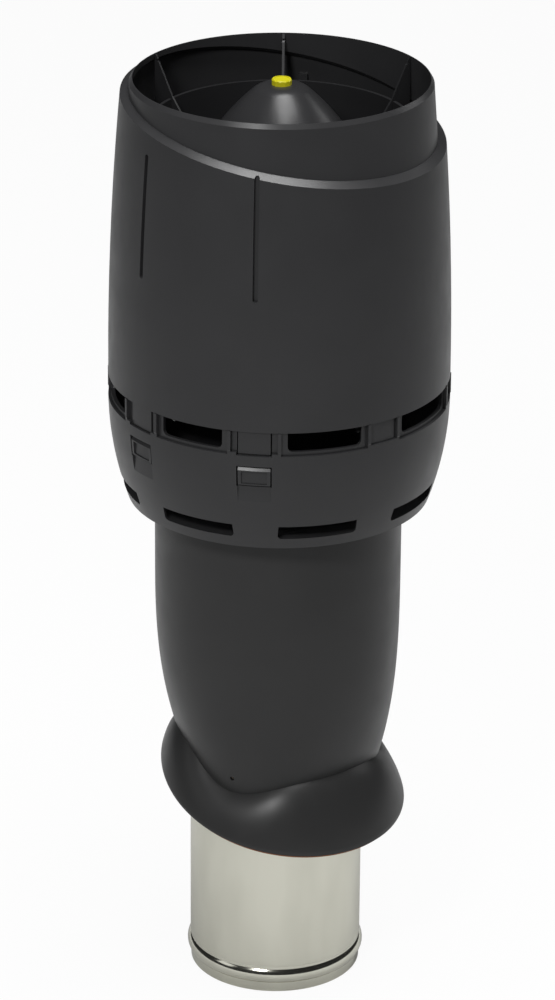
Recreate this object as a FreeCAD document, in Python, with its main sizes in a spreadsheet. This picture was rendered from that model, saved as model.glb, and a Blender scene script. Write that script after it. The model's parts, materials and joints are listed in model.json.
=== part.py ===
"""Roof ventilation pipe: an insulated 160 mm duct in a 225 mm pipe with a skirt and a hood.

The frame has +Z up and its origin at the centre of the duct's lower end. The roof falls away
towards -Y. Azimuths are counted from -Y towards +X, in degrees.
"""
import FreeCAD, Part
import math
import os
import Sketcher

doc = FreeCAD.newDocument("RoofVentilationPipe")

SIZES = [
    ("duct_diameter", 160.0, "outside of the steel duct"),
    ("duct_wall", 0.9, "sheet thickness of the duct"),
    ("duct_length", 612.0, "lower end to upper end of the duct"),
    ("spigot_length", 9.0, "plain end below the bead"),
    ("spigot_reduction", 0.6, "how much smaller the plain end's radius is"),
    ("bead_width", 14.0, "rolled bead, along the duct"),
    ("bead_height", 2.5, "rolled bead, above the duct's surface"),
    ("swage_length", 4.0, "reduced stretch above the bead"),
    ("swage_step", 0.3, "depth of the reduced stretch"),
    ("pipe_diameter", 225.0, "outside of the plastic pipe"),
    ("pipe_wall", 3.0, "wall of the plastic pipe and its skirt"),
    ("pipe_top", 600.0, "upper end of the plastic pipe"),
    ("taper_top", 400.0, "where the pipe starts to narrow into its neck"),
    ("neck_half_width", 84.5, "axis to the neck's flat sides"),
    ("neck_squareness", 4.5, "exponent of the neck's rounded square"),
    ("neck_height", 222.0, "neck line at the axis"),
    ("neck_slope", 0.45, "fall of the neck line towards the low side"),
    ("neck_bow", 37.7, "upward bow of the neck line, mm at 100 mm out"),
    ("neck_skew", 15.5, "uneven part of that bow, mm at 100 mm out"),
    ("taper_power", 2.5, "how late the neck narrows at the sides"),
    ("taper_power_change", 0.83, "how much earlier it narrows on the low side"),
    ("skirt_radius", 113.5, "rim of the skirt"),
    ("skirt_shift", 10.2, "rim's centre, from the axis towards the low side"),
    ("skirt_height", 187.3, "rim at its own centre"),
    ("skirt_slope", 0.304, "fall of the rim towards the low side"),
    ("skirt_bow", 5.3, "upward bow of the rim, mm at 100 mm out"),
    ("skirt_bulge", 0.5, "0 for a straight skirt, 1 for a quarter round one"),
    ("fixing_hole_diameter", 4.2, "two holes above the skirt"),
    ("fixing_hole_turn", 61.0, "their azimuth either side of the low side"),
    ("fixing_hole_height", 228.0, "their height"),
    ("seal_thickness", 3.0, "strip inside the skirt's rim"),
    ("seal_drop", 1.2, "how far the strip shows below the rim"),
    ("seal_share", 0.16, "share of the skirt's slope that the strip covers"),
    ("insulation_taper", 9.5, "how much smaller the insulation's radius is at its foot"),
    ("neck_ring_height", 304.0, "underside of the centring ring"),
    ("neck_ring_thickness", 8.0, "centring ring, along the duct"),
    ("fit_clearance", 0.3, "gap between pieces that slide together"),
    ("touch_gap", 0.05, "gap between pieces that press on each other"),
    ("edge_break", 1.0, "small bevels and steps"),
    ("overreach", 5.0, "how far a cutting outline runs past the material"),
    ("slip_clearance", 0.5, "gap between the sleeve and the pipe"),
    ("head_ring_thickness", 3.0, "plate of the ring on the pipe's top"),
    ("head_ring_neck", 9.0, "height of the ring's neck around the duct"),
    ("head_ring_lip", 12.0, "depth of the ring's lips inside the pipe"),
    ("screw_count", 4.0, "screws of the duct, and of the hood"),
    ("screw_shank_diameter", 4.0, "all sheet screws"),
    ("screw_head_diameter", 8.0, "all sheet screws"),
    ("screw_head_height", 2.4, "all sheet screws"),
    ("screw_point", 1.2, "length of a sheet screw's point"),
    ("screw_reach", 3.0, "how far a duct screw goes through the duct's wall"),
    ("hood_turn", 22.5, "azimuth of the hood's low side and of a window"),
    ("window_count", 8.0, "windows around the bowl"),
    ("bowl_diameter", 308.0, "outside of the bowl at its shoulder"),
    ("bowl_arc_radius", 287.0, "bowl's side, seen from the side"),
    ("bowl_drop", 122.0, "pipe's top down to the bowl's lower edge"),
    ("shoulder_drop", 25.0, "pipe's top down to the bowl's shoulder"),
    ("bowl_wall", 3.0, "wall of the bowl"),
    ("bowl_rim_height", 18.0, "how far the bowl's rim stands up inside the jacket"),
    ("rib_proud", 0.5, "how far the window ribs stand out of the bowl's side"),
    ("arm_frame_side", 8.9, "middle of a snap arm to the nearest window's recess, in degrees"),
    ("arm_window_side", 10.7, "the same to the window"),
    ("arm_recess_half", 7.75, "half angle of the recess that a snap arm stands in"),
    ("plain_frame_side", 6.5, "middle of a plain panel to the nearest window's recess, in degrees"),
    ("plain_window_side", 8.2, "the same to the window"),
    ("plain_recess_half", 5.4, "half angle of the recess that a plain panel stands in"),
    ("plain_half", 4.9, "half angle of a plain panel"),
    ("window_frame_drop", 3.0, "shoulder down to the recess's lower edge"),
    ("window_frame_depth", 2.8, "depth of that recess"),
    ("window_sill", 0.5, "shoulder up to a window's sill"),
    ("window_height", 26.5, "height of a window"),
    ("window_corner", 5.0, "radius of a window's lower corners"),
    ("arm_half", 5.55, "half angle of a snap arm and its panel"),
    ("arm_slot_gap", 0.3, "angle left open beside a snap arm"),
    ("arm_panel_setback", 2.2, "bowl's side back to the arm's face"),
    ("arm_thickness", 3.5, "snap arm at its root"),
    ("arm_thin", 2.4, "snap arm below its root"),
    ("arm_root", 10.0, "height of the arm's root inside the jacket"),
    ("arm_head_setback", 0.9, "bowl's radius back to the top of the arm's head"),
    ("arm_head_lean", 1.2, "how much further back the head's lower edge is"),
    ("arm_head_chamfer", 2.8, "chamfer on the head's top, along the arm"),
    ("latch_top_drop", 39.0, "pipe's top down to the latch window's top"),
    ("latch_height", 18.4, "height of a latch window"),
    ("latch_gap", 0.7, "gap around the arm's head in its window"),
    ("latch_pocket_drop", 74.0, "pipe's top down to the pocket's lower end"),
    ("latch_pocket_setback", 4.0, "bowl's radius back to the pocket's floor"),
    ("latch_dimple_margin", 3.0, "side of the arm's head to its dimple"),
    ("latch_dimple_drop", 4.6, "latch window's top down to the dimple"),
    ("latch_dimple_foot", 2.0, "latch window's lower edge up to the dimple"),
    ("latch_dimple_depth", 1.0, "depth of the dimple in the arm's head"),
    ("drain_half", 14.3, "half angle of a lower slot"),
    ("drain_drop", 98.5, "pipe's top down to a lower slot's top"),
    ("drain_height", 13.0, "height of a lower slot"),
    ("drain_corner", 4.0, "radius of a lower slot's lower corners"),
    ("bowl_floor_drop", 0.5, "lower slots down to the bowl's floor"),
    ("bowl_ring_wall", 2.8, "ring that grips the sleeve"),
    ("bowl_ring_height", 38.0, "its height above the bowl's floor"),
    ("bowl_rib_thickness", 2.5, "ribs between that ring and the bowl"),
    ("bowl_rib_rise", 6.0, "how much higher a rib is at the bowl than at the ring"),
    ("jacket_foot_drop", 6.0, "pipe's top down to the jacket's foot"),
    ("jacket_diameter", 307.6, "outside of the jacket at its foot"),
    ("jacket_arc_radius", 2889.0, "jacket's side, seen from the side"),
    ("jacket_wall", 2.8, "wall of the jacket and its collar"),
    ("hood_rise", 268.2, "pipe's top up to the collar's rim"),
    ("ledge_drop", 31.0, "rim down to the ledge's plane, on the axis"),
    ("ledge_slope", 10.5, "slope of the ledge, in degrees"),
    ("ledge_chamfer_width", 4.0, "chamfer on the ledge's outer edge"),
    ("ledge_chamfer_height", 6.5, "the same, down the jacket"),
    ("ledge_inner_chamfer", 4.0, "chamfer inside, under the collar's foot"),
    ("collar_diameter", 268.0, "outside of the collar just under its rim"),
    ("collar_draft", 4.37, "draft of the collar, in degrees"),
    ("rim_chamfer_width", 2.5, "chamfer on the collar's rim"),
    ("rim_chamfer_height", 4.0, "the same, down the collar"),
    ("groove_width", 4.6, "grooves down the jacket"),
    ("groove_depth", 4.0, "their depth"),
    ("groove_rise", 113.0, "pipe's top up to their lower ends"),
    ("groove_length", 112.3, "their length, with the round ends"),
    ("groove_backing", 1.8, "wall behind and beside a groove"),
    ("sleeve_wall", 3.0, "wall of the guide sleeve"),
    ("sleeve_rise", 229.0, "pipe's top up to the sleeve's top"),
    ("sleeve_drain_half", 10.0, "half angle of a drain slot in the sleeve"),
    ("sleeve_drain_height", 12.0, "height of such a slot"),
    ("hood_seal_drop", 95.0, "pipe's top down to the rubber ring"),
    ("hood_seal_height", 4.0, "height of the rubber ring"),
    ("hood_seal_depth", 1.8, "depth of its groove in the sleeve"),
    ("hood_screw_drop", 25.0, "pipe's top down to the hood screws"),
    ("hood_screw_turn", 0.0, "azimuth of the first hood screw"),
    ("duct_screw_rise", 6.0, "pipe's top up to the duct screws"),
    ("duct_screw_turn", 45.0, "azimuth of the first duct screw"),
    ("web_count", 6.0, "webs of the sleeve"),
    ("web_thickness", 2.2, "thickness of a web"),
    ("web_elbow_radius", 112.6, "where a web's edge crosses the sleeve"),
    ("web_elbow_rise", 2.0, "sleeve's top up to that place"),
    ("web_knee_radius", 104.0, "the next bend of a web's edge, inside the sleeve"),
    ("web_knee_drop", 11.0, "sleeve's top down to that bend"),
    ("web_foot_drop", 110.0, "sleeve's top down to a web's foot inside the sleeve"),
    ("web_fin_drop", 180.0, "sleeve's top down to a web's foot outside the sleeve"),
    ("web_fin_rise", 50.0, "how much higher that foot is at its outer edge"),
    ("web_tip_drop", 0.7, "collar's rim down to a web's tip"),
    ("web_tip_width", 1.2, "width of that tip"),
    ("web_notch_depth", 2.9, "collar down to the bottom of the notch under the tip"),
    ("web_notch_drop", 4.5, "collar's rim down to that notch"),
    ("web_nose_depth", 0.8, "collar to the nose under the notch"),
    ("web_nose_drop", 5.2, "collar's rim down to that nose"),
    ("web_brow_depth", 4.2, "collar to the top of a web's long edge"),
    ("web_brow_drop", 7.6, "collar's rim down to that place"),
    ("web_cone_gap", 6.0, "bell's lower edge to the web beside it"),
    ("web_cone_drop", 2.0, "bell's lower edge down to the web's step"),
    ("web_seat_gap", 3.0, "bell's lower edge to the web below it"),
    ("web_seat_drop", 8.0, "bell's lower edge down to the web below it"),
    ("web_hub_drop", 12.0, "hub's top down to the web's upper edge"),
    ("hub_diameter", 19.0, "hub that the bell is bolted to"),
    ("hub_length", 59.0, "hub, along the axis"),
    ("cone_rise", 261.8, "pipe's top up to the bell's crown"),
    ("cone_wall", 2.5, "wall of the bell"),
    ("cone_crown_radius", 12.1, "flat crown of the bell"),
    ("cone_crown_round", 20.0, "radius of the round between crown and side, seen from the side"),
    ("cone_shoulder_radius", 24.85, "where the bell's side starts"),
    ("cone_shoulder_drop", 4.6, "crown down to that place"),
    ("cone_shoulder_slope", 39.6, "slope of the side there, in degrees"),
    ("cone_radius", 84.0, "lower edge of the bell"),
    ("cone_height", 95.8, "crown down to the bell's lower edge"),
    ("cone_arc_radius", 200.0, "bell's side, seen from the side"),
    ("bolt_diameter", 8.0, "bolt through the bell and the hub"),
    ("bolt_head_height", 2.6, "its low head"),
    ("bolt_head_diameter", 11.0, "its low head"),
    ("bolt_head_round", 0.8, "bevel of the bolt's head"),
    ("bolt_end", 5.0, "how far the bolt stands out of the nut"),
    ("socket_radius", 2.64, "corners of the socket in the bolt's head"),
    ("socket_depth", 1.56, "depth of that socket"),
    ("washer_thickness", 1.2, "washers under head and nut"),
    ("washer_diameter", 14.0, "washers under head and nut"),
    ("nut_height", 6.5, "nut below the hub"),
    ("nut_width", 13.0, "nut across its flats"),
    ("cap_diameter", 18.0, "yellow cap across its corners"),
    ("cap_height", 5.2, "yellow cap"),
    ("cap_wall", 1.6, "yellow cap, at its corners"),
    ("cap_roof", 1.4, "yellow cap, its top"),
    ("cap_bevel", 0.9, "bevel of the cap's top edge, along the top"),
    ("cap_bevel_height", 1.3, "the same, down the side"),
    ("cap_dish_depth", 0.4, "shallow dish in the cap's top"),
    ("cap_dish_radius", 6.8, "its radius"),
]

sheet = doc.addObject("Spreadsheet::Sheet", "Sizes")
for row, (alias, number, meaning) in enumerate(SIZES, start=1):
    sheet.set(f"A{row}", meaning)
    sheet.set(f"B{row}", str(number))
    sheet.setAlias(f"B{row}", alias)
doc.recompute()


class Length:
    """A size as a number together with the sheet expression that gives it."""

    def __init__(self, number, text):
        self.number = number
        self.text = text

    def __add__(self, other):
        return joined(self, "+", other, lambda a, b: a + b)

    def __radd__(self, other):
        return joined(other, "+", self, lambda a, b: a + b)

    def __sub__(self, other):
        return joined(self, "-", other, lambda a, b: a - b)

    def __rsub__(self, other):
        return joined(other, "-", self, lambda a, b: a - b)

    def __mul__(self, other):
        return joined(self, "*", other, lambda a, b: a * b)

    def __rmul__(self, other):
        return joined(other, "*", self, lambda a, b: a * b)

    def __truediv__(self, other):
        return joined(self, "/", other, lambda a, b: a / b)

    def __rtruediv__(self, other):
        return joined(other, "/", self, lambda a, b: a / b)


def as_length(value):
    """A plain number as a Length, and a Length as it is."""
    return value if isinstance(value, Length) else Length(float(value), repr(float(value)))


def joined(left, sign, right, work):
    """Two sizes joined by an operator."""
    left = as_length(left)
    right = as_length(right)
    return Length(work(left.number, right.number), f"({left.text} {sign} {right.text})")


def root(value):
    """Square root of a size."""
    return Length(math.sqrt(value.number), f"sqrt({value.text})")


def sine(degrees):
    """Sine of an angle in degrees."""
    return Length(math.sin(math.radians(degrees.number)), f"sin({degrees.text} * 1deg)")


def tangent(degrees):
    """Tangent of an angle in degrees."""
    return Length(math.tan(math.radians(degrees.number)), f"tan({degrees.text} * 1deg)")


def size(alias):
    """The named size of the sheet."""
    return Length(float(sheet.get(alias)), f"Sizes.{alias}")


def arc_drop(radius, rise):
    """How far an arc has moved in, a given way along from where it runs straight up."""
    return radius - root(radius * radius - rise * rise)


def new_body(name, label=None):
    """A body. Only a body with a label is a piece of its own."""
    body = doc.addObject("PartDesign::Body", name)
    body.Label = label or name
    return body


def origin_part(body, role):
    """One of a body's own planes or axes."""
    for item in body.Origin.OriginFeatures:
        if item.Role == role:
            return item
    raise ValueError(role)


def new_sketch(body, name, role="XZ_Plane", turn=0.0, lift=0.0):
    """A sketch on one of a body's planes, turned about Z or lifted along its normal."""
    sketch = body.newObject("Sketcher::SketchObject", name)
    sketch.AttachmentSupport = [(origin_part(body, role), "")]
    sketch.MapMode = "FlatFace"
    turn = as_length(turn)
    lift = as_length(lift)
    about = FreeCAD.Vector(0, 1, 0) if role == "XZ_Plane" else FreeCAD.Vector(0, 0, 1)
    sketch.AttachmentOffset = FreeCAD.Placement(
        FreeCAD.Vector(0, 0, lift.number), FreeCAD.Rotation(about, turn.number)
    )
    sketch.setExpression("AttachmentOffset.Base.z", lift.text)
    sketch.setExpression("AttachmentOffset.Rotation.Angle", turn.text)
    return sketch


def hold(sketch, index, end, kind, value):
    """Hold one coordinate of an end of a line or arc at a size of the sheet."""
    if value.text == "0.0":
        axis = -2 if kind == "DistanceX" else -1
        sketch.addConstraint(Sketcher.Constraint("PointOnObject", index, end, axis))
        return
    number = sketch.addConstraint(Sketcher.Constraint(kind, index, end, value.number))
    sketch.setExpression(f"Constraints[{number}]", value.text)


def outline(sketch, corners):
    """A closed outline through corners. A third value is the radius of the arc that leaves one.

    A positive radius bulges to the right of the way from this corner to the next one.
    """
    corners = [[as_length(value) for value in corner] for corner in corners]
    points = [FreeCAD.Vector(corner[0].number, corner[1].number, 0) for corner in corners]
    count = len(corners)
    ends = []
    for index, corner in enumerate(corners):
        start = points[index]
        end = points[(index + 1) % count]
        if len(corner) == 3:
            radius = corner[2].number
            chord = end - start
            half = chord.Length / 2
            rise = abs(radius) - math.sqrt(radius * radius - half * half)
            right = FreeCAD.Vector(chord.y, -chord.x, 0).normalize()
            middle = (start + end) / 2 + right * math.copysign(rise, radius)
            ends_in_order = (start, end) if radius > 0 else (end, start)
            arc = Part.Arc(ends_in_order[0], middle, ends_in_order[1])
            sketch.addGeometry(arc, False)
        else:
            sketch.addGeometry(Part.LineSegment(start, end), False)
        forward = sketch.Geometry[index].StartPoint.distanceToPoint(start) < 1e-6
        ends.append((1, 2) if forward else (2, 1))
    for index, corner in enumerate(corners):
        after = (index + 1) % count
        sketch.addConstraint(
            Sketcher.Constraint("Coincident", index, ends[index][1], after, ends[after][0])
        )
        hold(sketch, index, ends[index][0], "DistanceX", corner[0])
        hold(sketch, index, ends[index][0], "DistanceY", corner[1])
        if len(corner) == 3:
            radius = corner[2]
            number = sketch.addConstraint(Sketcher.Constraint("Radius", index, abs(radius.number)))
            sketch.setExpression(f"Constraints[{number}]", f"abs({radius.text})")


def turned(body, name, corners, cut=False, azimuth=None, half=None):
    """Material or a cut turned about the axis: all round, or so many degrees each side of an azimuth.

    The corners are given as distance from the axis and height.
    """
    azimuth = as_length(azimuth if azimuth is not None else 90.0)
    sketch = new_sketch(body, name + "Outline", turn=azimuth - 90)
    outline(sketch, corners)
    feature = body.newObject("PartDesign::Groove" if cut else "PartDesign::Revolution", name)
    feature.Profile = sketch
    feature.ReferenceAxis = (sketch, ["V_Axis"])
    if half is None:
        feature.Angle = 360
    else:
        feature.Midplane = True
        feature.setExpression("Angle", (half * 2).text)
    return feature


def pressed(body, name, corners, length, cut=False, **place):
    """A flat outline given thickness: to both sides of its plane, or cut outwards along its normal."""
    sketch = new_sketch(body, name + "Outline", **place)
    outline(sketch, corners)
    feature = body.newObject("PartDesign::Pocket" if cut else "PartDesign::Pad", name)
    feature.Profile = sketch
    feature.setExpression("Length", as_length(length).text)
    if cut:
        feature.Reversed = True
    else:
        feature.SideType = "Symmetric"
    return feature


def screw_holes(body, azimuth, level):
    """Round holes for sheet screws, cut from the axis outwards and repeated about it."""
    half = size("screw_shank_diameter") / 2
    sketch = new_sketch(body, "ScrewHoleOutline", turn=azimuth)
    number = sketch.addGeometry(
        Part.Circle(FreeCAD.Vector(0, level.number, 0), FreeCAD.Vector(0, 0, 1), half.number), False
    )
    sketch.addConstraint(Sketcher.Constraint("PointOnObject", number, 3, -2))
    held = sketch.addConstraint(Sketcher.Constraint("DistanceY", number, 3, level.number))
    sketch.setExpression(f"Constraints[{held}]", level.text)
    held = sketch.addConstraint(Sketcher.Constraint("Radius", number, half.number))
    sketch.setExpression(f"Constraints[{held}]", half.text)
    cut = body.newObject("PartDesign::Pocket", "ScrewHole")
    cut.Profile = sketch
    cut.Reversed = True
    cut.setExpression("Length", size("bowl_diameter").text)
    repeated(body, cut, size("screw_count"))


def repeated(body, feature, count):
    """A feature repeated evenly about the axis."""
    pattern = body.newObject("PartDesign::PolarPattern", feature.Name + "Pattern")
    pattern.Originals = [feature]
    pattern.Axis = (origin_part(body, "Z_Axis"), [""])
    pattern.Angle = 360
    pattern.setExpression("Occurrences", as_length(count).text)
    body.Tip = pattern
    return pattern


def box_corners(inner, outer, low, high):
    """The four corners of an upright rectangle."""
    return [(inner, low), (outer, low), (outer, high), (inner, high)]


def rounded_slot(half_width, low, high, corner):
    """An upright window outline with round lower corners."""
    return [
        (half_width * -1, high),
        (half_width * -1, low + corner, corner),
        ((half_width - corner) * -1, low),
        (half_width - corner, low, corner),
        (half_width, low + corner),
        (half_width, high),
    ]


def direction(azimuth):
    """The level direction of an azimuth."""
    angle = math.radians(azimuth)
    return FreeCAD.Vector(math.sin(angle), -math.cos(angle), 0)


def piece(label, shape):
    """A piece whose shape is worked out here from the sheet's sizes."""
    item = doc.addObject("Part::Feature", label)
    item.Label = label
    item.Shape = shape
    item.Placement = FreeCAD.Placement()
    return item


def radial_rod(radius, azimuth, height, inner, outer):
    """A round rod that points straight away from the axis."""
    out = direction(azimuth)
    start = out * inner + FreeCAD.Vector(0, 0, height)
    return Part.makeCylinder(radius, outer - inner, start, out)


def screw_azimuths(first):
    """Azimuths of a ring of screws, from the named azimuth of the first one."""
    count = int(size("screw_count").number)
    return [size(first).number + 360 * index / count for index in range(count)]


clearance = size("fit_clearance")
pipe_top = size("pipe_top")
duct_radius = size("duct_diameter") / 2
duct_bore = duct_radius - size("duct_wall")
pipe_radius = size("pipe_diameter") / 2
pipe_bore = pipe_radius - size("pipe_wall")
duct_outer = duct_radius + clearance
hood_screw_level = pipe_top - size("hood_screw_drop")
duct_screw_level = pipe_top + size("duct_screw_rise")


def build_duct():
    """The steel duct with its spigot, rolled bead and swaged step."""
    body = new_body("steel_duct")
    wall = size("duct_wall")
    spigot = duct_radius - size("spigot_reduction")
    swage = duct_radius - size("swage_step")
    bead_low = size("spigot_length")
    bead_high = bead_low + size("bead_width")
    swage_top = bead_high + size("swage_length")
    crown = size("bead_height") + size("spigot_reduction")
    half = size("bead_width") / 2
    radius = (half * half + crown * crown) / (crown * 2)
    corners = [
        (spigot, 0),
        (spigot, bead_low, radius),
        (swage, bead_high),
        (swage, swage_top),
        (duct_radius, swage_top + size("swage_step")),
        (duct_radius, size("duct_length")),
        (duct_bore, size("duct_length")),
        (duct_bore, swage_top + size("swage_step")),
        (swage - wall, swage_top),
        (swage - wall, bead_high, (radius - wall) * -1),
        (spigot - wall, bead_low),
        (spigot - wall, 0),
    ]
    turned(body, "DuctSheet", corners)
    screw_holes(body, size("duct_screw_turn"), duct_screw_level)
    return body


def neck_radius(turn):
    """Outside of the neck at a turn from the low side, in radians."""
    power = size("neck_squareness").number
    flat = abs(math.cos(turn)) ** power + abs(math.sin(turn)) ** power
    return size("neck_half_width").number * flat ** (-1 / power)


def neck_level(turn):
    """Height of the neck line at a turn from the low side."""
    along = neck_radius(turn) * math.cos(turn)
    share = along / 100
    bowed = size("neck_bow").number * share ** 2 + size("neck_skew").number * share ** 3
    return size("neck_height").number - size("neck_slope").number * along + bowed


def body_radius(turn, share):
    """Outside of the tapering pipe, at a share of the way down from the taper's top to the neck."""
    power = size("taper_power").number - size("taper_power_change").number * math.cos(turn)
    full = pipe_radius.number
    return full - (full - neck_radius(turn)) * share ** power


def body_radius_at(turn, level):
    """The same at a height."""
    top = size("taper_top").number
    return body_radius(turn, (top - level) / (top - neck_level(turn)))


def rim_place(turn):
    """Radius and height of the skirt's rim at a turn from the low side."""
    shift = size("skirt_shift").number
    radius = size("skirt_radius").number
    across = shift * math.sin(turn)
    reach = shift * math.cos(turn) + math.sqrt(radius * radius - across * across)
    local = reach * math.cos(turn) - shift
    fall = size("skirt_slope").number * local
    return reach, size("skirt_height").number - fall + size("skirt_bow").number * (local / 100) ** 2


def skirt_place(turn, share):
    """Radius and height on the skirt, at a share of the way from the neck out to the rim."""
    neck = neck_radius(turn)
    reach, low = rim_place(turn)
    bulge = size("skirt_bulge").number
    out = bulge * math.sin(share * math.pi / 2) + (1 - bulge) * share
    down = bulge * (1 - math.cos(share * math.pi / 2)) + (1 - bulge) * share
    level = neck_level(turn)
    return neck + (reach - neck) * out, level - (level - low) * down


def ring(place, inset=0.0, lower=0.0, points=48):
    """A closed smooth curve round the axis. place gives radius and height at a turn."""
    path = []
    for index in range(points):
        turn = 2 * math.pi * index / points
        radius, level = place(turn)
        out = direction(math.degrees(turn)) * (radius - inset)
        path.append(out + FreeCAD.Vector(0, 0, level - lower))
    curve = Part.BSplineCurve()
    curve.interpolate(path, PeriodicFlag=True)
    return Part.Wire(curve.toShape())


def band(rings):
    """The smooth surface through several rings."""
    return Part.makeLoft(rings, False, False).Faces


def strip(first, second):
    """The straight surface between two rings."""
    return [Part.makeRuledSurface(first.Edges[0], second.Edges[0])]


def solid_of(faces):
    """One solid closed by faces that share their edges."""
    shell = Part.makeShell(faces)
    shell.sewShape()
    solid = Part.makeSolid(shell)
    if solid.Volume < 0:
        solid.reverse()
    return solid


def build_pipe():
    """The plastic pipe: round at the top, a rounded square at its neck, and the skirt below it."""
    wall = size("pipe_wall").number
    top = size("taper_top").number
    head = pipe_top.number
    full = pipe_radius.number

    def level_share(share):
        def place(turn):
            return body_radius(turn, share), top - (top - neck_level(turn)) * share

        return place

    def skirt_share(share):
        return lambda turn: skirt_place(turn, share)

    body_places = [level_share(share) for share in (0.0, 0.2, 0.4, 0.6, 0.8, 1.0)]
    skirt_places = [skirt_share(share) for share in (0.0, 0.25, 0.5, 0.75, 1.0)]
    head_place = lambda turn: (full, head)
    outer_body = [ring(place) for place in body_places]
    inner_body = [ring(place, wall) for place in body_places]
    outer_skirt = [outer_body[-1]] + [ring(place) for place in skirt_places[1:]]
    inner_skirt = [inner_body[-1]] + [ring(place, wall) for place in skirt_places[1:]]
    outer_head = ring(head_place)
    inner_head = ring(head_place, wall)
    faces = strip(outer_head, outer_body[0]) + strip(inner_head, inner_body[0])
    faces += band(outer_body) + band(inner_body) + band(outer_skirt) + band(inner_skirt)
    faces += strip(outer_skirt[-1], inner_skirt[-1]) + strip(outer_head, inner_head)
    shape = solid_of(faces)
    past = size("overreach").number
    holes = []
    for side in (-1, 1):
        azimuth = side * size("fixing_hole_turn").number
        level = size("fixing_hole_height").number
        radius = size("fixing_hole_diameter").number / 2
        holes.append(radial_rod(radius, azimuth, level, duct_radius.number, full + past))
    for azimuth in screw_azimuths("hood_screw_turn"):
        radius = size("screw_shank_diameter").number / 2
        holes.append(radial_rod(radius, azimuth, hood_screw_level.number, duct_radius.number, full + past))
    return piece("outer_pipe", shape.cut(Part.makeCompound(holes)))


def build_skirt_seal():
    """The strip under the skirt's edge."""
    wall = size("pipe_wall").number + size("touch_gap").number
    thick = size("seal_thickness").number
    drop = size("seal_drop").number
    start = 1 - size("seal_share").number

    def place_at(share):
        return lambda turn: skirt_place(turn, share)

    shares = (start, (start + 1) / 2, 1.0)
    outer = [ring(place_at(share), wall) for share in shares]
    inner = [ring(place_at(share), wall + thick) for share in shares]
    outer_foot = ring(place_at(1.0), wall, drop)
    inner_foot = ring(place_at(1.0), wall + thick, drop)
    faces = band(outer) + band(inner) + strip(outer[-1], outer_foot)
    faces += strip(inner[-1], inner_foot) + strip(outer_foot, inner_foot) + strip(outer[0], inner[0])
    return piece("skirt_seal", solid_of(faces))


def build_neck_ring():
    """The ring that centres the duct where the pipe narrows."""
    low = size("neck_ring_height").number
    high = low + size("neck_ring_thickness").number
    inset = size("pipe_wall").number + clearance.number
    rings = []
    for level in (low, high):
        rings.append(ring(lambda turn, level=level: (body_radius_at(turn, level), level), inset))
    block = Part.makeLoft(rings, True, True)
    past = size("overreach").number
    foot = FreeCAD.Vector(0, 0, low - past)
    bore = Part.makeCylinder(duct_outer.number, high - low + past * 2, foot)
    return piece("neck_ring", block.cut(bore))


def build_insulation():
    """The insulation between the duct and the pipe."""
    body = new_body("insulation_sleeve")
    low = size("neck_ring_height") + size("neck_ring_thickness") + clearance
    high = pipe_top - size("head_ring_lip") - clearance
    outer = pipe_bore - clearance
    corners = [
        (duct_outer, low),
        (outer - size("insulation_taper"), low),
        (outer, size("taper_top")),
        (outer, high),
        (duct_outer, high),
    ]
    turned(body, "InsulationBlock", corners)
    return body


def build_head_ring():
    """The ring that closes the pipe's top and holds the duct."""
    body = new_body("pipe_head_ring")
    thick = size("head_ring_thickness")
    lip = pipe_top - size("head_ring_lip")
    outer = pipe_bore - clearance
    neck = duct_outer + thick
    top = pipe_top + thick
    corners = [
        (duct_outer, lip),
        (neck, lip),
        (neck, pipe_top),
        (outer - thick, pipe_top),
        (outer - thick, lip),
        (outer, lip),
        (outer, pipe_top),
        (pipe_radius, pipe_top),
        (pipe_radius, top - size("edge_break")),
        (neck, top),
        (neck, top + size("head_ring_neck") - thick),
        (duct_outer, top + size("head_ring_neck") - thick),
    ]
    turned(body, "HeadRing", corners)
    screw_holes(body, size("duct_screw_turn"), duct_screw_level)
    return body


def build_seal():
    """The rubber ring between the sleeve and the pipe."""
    body = new_body("hood_seal")
    low = pipe_top - size("hood_seal_drop")
    outer = pipe_radius + size("slip_clearance") + size("hood_seal_depth")
    inner = pipe_radius + size("touch_gap")
    corners = box_corners(inner, outer, low, low + size("hood_seal_height"))
    turned(body, "SealRing", corners)
    return body


def bowl_radius_at(drop):
    """Outside of the bowl, a given way below its shoulder."""
    return size("bowl_diameter") / 2 - arc_drop(size("bowl_arc_radius"), drop)


shoulder = pipe_top - size("shoulder_drop")
bowl_foot = pipe_top - size("bowl_drop")
jacket_foot = pipe_top - size("jacket_foot_drop")
jacket_foot_radius = size("jacket_diameter") / 2
jacket_bore = jacket_foot_radius - size("jacket_wall")
bowl_radius = size("bowl_diameter") / 2
band_radius = jacket_bore - clearance
arm_face = bowl_radius - size("arm_panel_setback")
latch_top = pipe_top - size("latch_top_drop")
latch_low = latch_top - size("latch_height")
sleeve_bore = pipe_radius + size("slip_clearance")
sleeve_radius = sleeve_bore + size("sleeve_wall")
drain_top = pipe_top - size("drain_drop")
drain_low = drain_top - size("drain_height")
floor_top = drain_low - size("bowl_floor_drop")
sleeve_foot = floor_top + size("touch_gap")
sleeve_top = pipe_top + size("sleeve_rise")
overreach = size("overreach")
edge_break = size("edge_break")
outside = bowl_radius + overreach
arm_azimuths = (-90, -45)
plain_azimuths = (0, 45)


def window_span(after, side):
    """Middle and half angle of the window after a post, with the margins that its neighbours need.

    The posts are the arms and the plain panels of one half of the bowl, every 45 degrees.
    """
    posts = arm_azimuths + plain_azimuths + (arm_azimuths[0] + 180,)
    margins = [size(("arm_" if post in arm_azimuths or post > 45 else "plain_") + side) for post in posts]
    low = margins[after] + posts[after]
    high = posts[after + 1] - margins[after + 1]
    return (low + high) / 2, (high - low) / 2


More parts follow.
